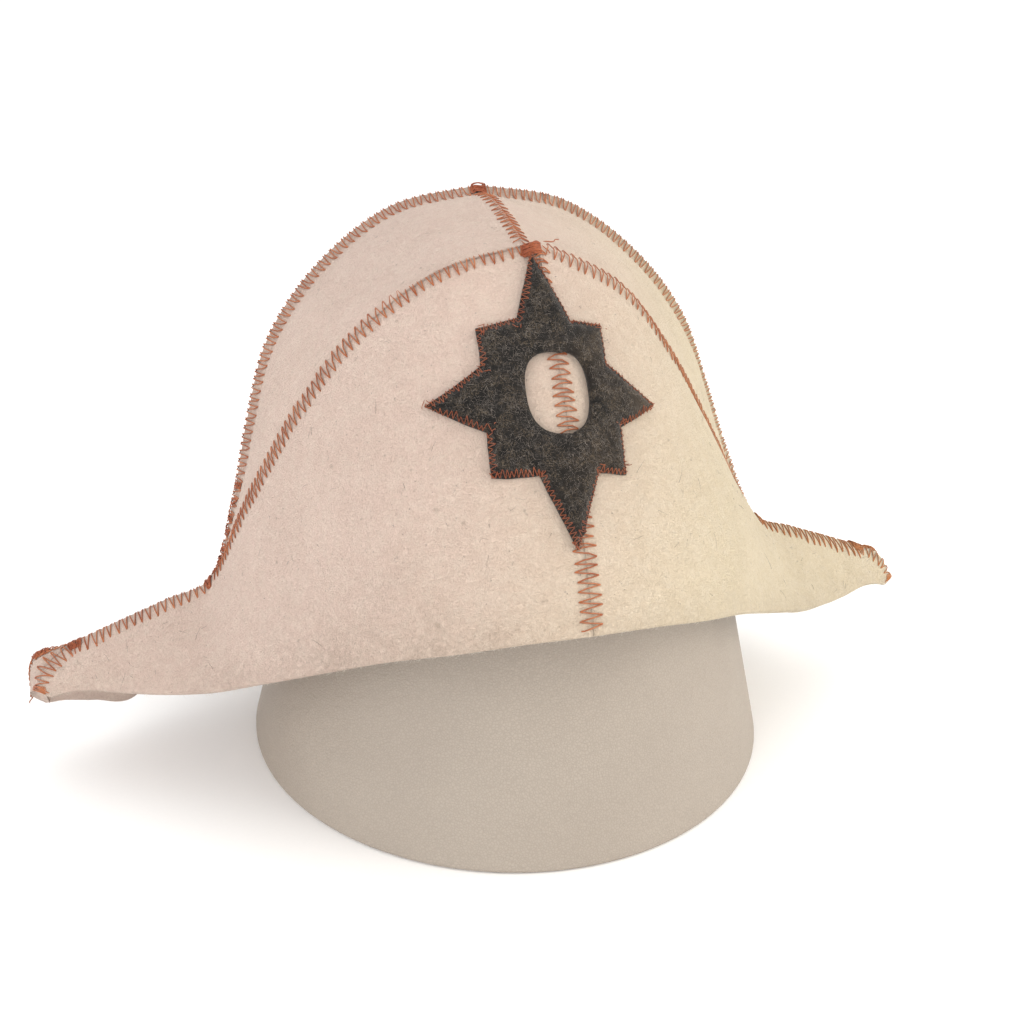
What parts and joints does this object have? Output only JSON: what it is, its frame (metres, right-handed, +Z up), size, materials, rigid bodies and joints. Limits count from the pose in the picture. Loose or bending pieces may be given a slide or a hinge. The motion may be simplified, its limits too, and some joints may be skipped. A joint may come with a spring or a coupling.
{
  "type": "felt sauna hat in the style of a pointed admiral's hat, on a plain round stand",
  "caption": "Cream felt sauna hat with drooping side points, rust zigzag stitching and a dark star on the front, on a plain tapered stand.",
  "frame": {"origin": "centre of the bounding box on the ground under the stand", "axes": "+Z up, -Y towards the front with the star, +X towards the hat's right-hand point as seen from the front"},
  "size_m": [0.3452, 0.21, 0.2043],
  "materials": {
    "felt_pink": "thick pressed wool felt, fuzzy",
    "felt_yellow": "thick pressed wool felt, fuzzy",
    "felt_back": "thick pressed wool felt, fuzzy",
    "felt_dark": "dark heathered wool felt",
    "stand_shell": "fine leather-like grain"
  },
  "bodies": {
    "root": {"front_left": "felt_pink", "front_right": "felt_yellow", "back_left": "felt_back", "back_right": "felt_back", "gusset_left": "felt_pink", "gusset_right": "felt_yellow", "tip_left": "felt_pink", "tip_right": "felt_yellow", "star": "felt_dark", "stand": "stand_shell"}
  },
  "joints": []
}
